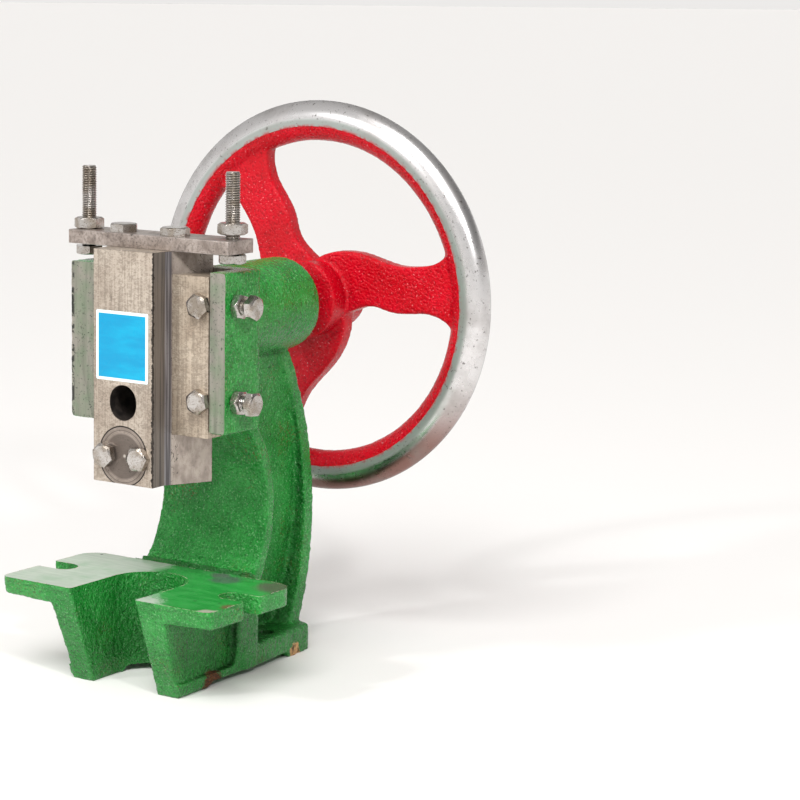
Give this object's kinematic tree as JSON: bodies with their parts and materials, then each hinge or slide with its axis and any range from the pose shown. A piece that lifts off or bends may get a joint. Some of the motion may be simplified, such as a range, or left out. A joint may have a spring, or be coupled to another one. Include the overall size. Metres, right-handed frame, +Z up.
{
  "type": "hand punch press",
  "caption": "Bench hand press: a rear handwheel turns a pinion that lifts and lowers a dovetail ram with a tool clamp, in a cast C-frame with an open slotted base.",
  "frame": {"origin": "on the bench plane, in the centre plane of the casting and drive shaft, at the middle of the whole press's plan, level with the two fixing holes", "axes": "+Z up from the bench, +Y from the ram to the handwheel at the back, +X to the right seen from the front"},
  "size_m": [0.228, 0.234, 0.3118],
  "materials": {
    "casting_paint": "glossy machinery green over rough cast iron, worn through at edges",
    "wheel_paint": "glossy red spokes and hub, polished rim",
    "ground_steel": "ground and worn",
    "gib_steel": "ground",
    "stop_plate_steel": "mottled, dull",
    "shaft_steel": "turned",
    "rack_steel": "machined, oiled",
    "zinc_fasteners": "zinc plated",
    "black_fasteners": "black oxide",
    "bush_bronze": "turned bronze",
    "label_blue": "plain blue with a white border"
  },
  "bodies": {
    "frame": {"body_casting": "casting_paint", "gib": "gib_steel", "gib_bolts": "zinc_fasteners", "gib_adjusting_screws": "zinc_fasteners", "gib_lock_nuts": "zinc_fasteners", "front_bush": "bush_bronze", "rear_bush": "bush_bronze"},
    "drive": {"pinion_shaft": "shaft_steel", "thrust_collar": "shaft_steel", "collar_set_screw": "black_fasteners", "handwheel": "wheel_paint", "wheel_key": "shaft_steel", "wheel_washer": "zinc_fasteners", "wheel_nut": "zinc_fasteners"},
    "slide": {"ram": "ground_steel", "ram_rack": "rack_steel", "rack_screws": "black_fasteners", "tool_clamp_cap": "ground_steel", "clamp_bolts": "zinc_fasteners", "stop_plate": "stop_plate_steel", "stop_plate_bolts": "zinc_fasteners", "depth_stop_bolts": "zinc_fasteners", "stop_lock_nuts": "zinc_fasteners", "label_plate": "label_blue"}
  },
  "joints": [
    {"name": "wheel_spin", "type": "hinge", "parent": "frame", "child": "drive", "pos_m": [0, 0.081, 0.1978], "axis": [0, 1, 0], "range_deg": [-14.3, 190.9]},
    {"name": "ram_slide", "type": "slide", "parent": "frame", "child": "slide", "axis": [0, 0, 1], "range_m": [-0.003, 0.04]}
  ],
  "couplings": [
    {"joint": "ram_slide", "follows": "wheel_spin", "m_per_rad": 0.012}
  ]
}
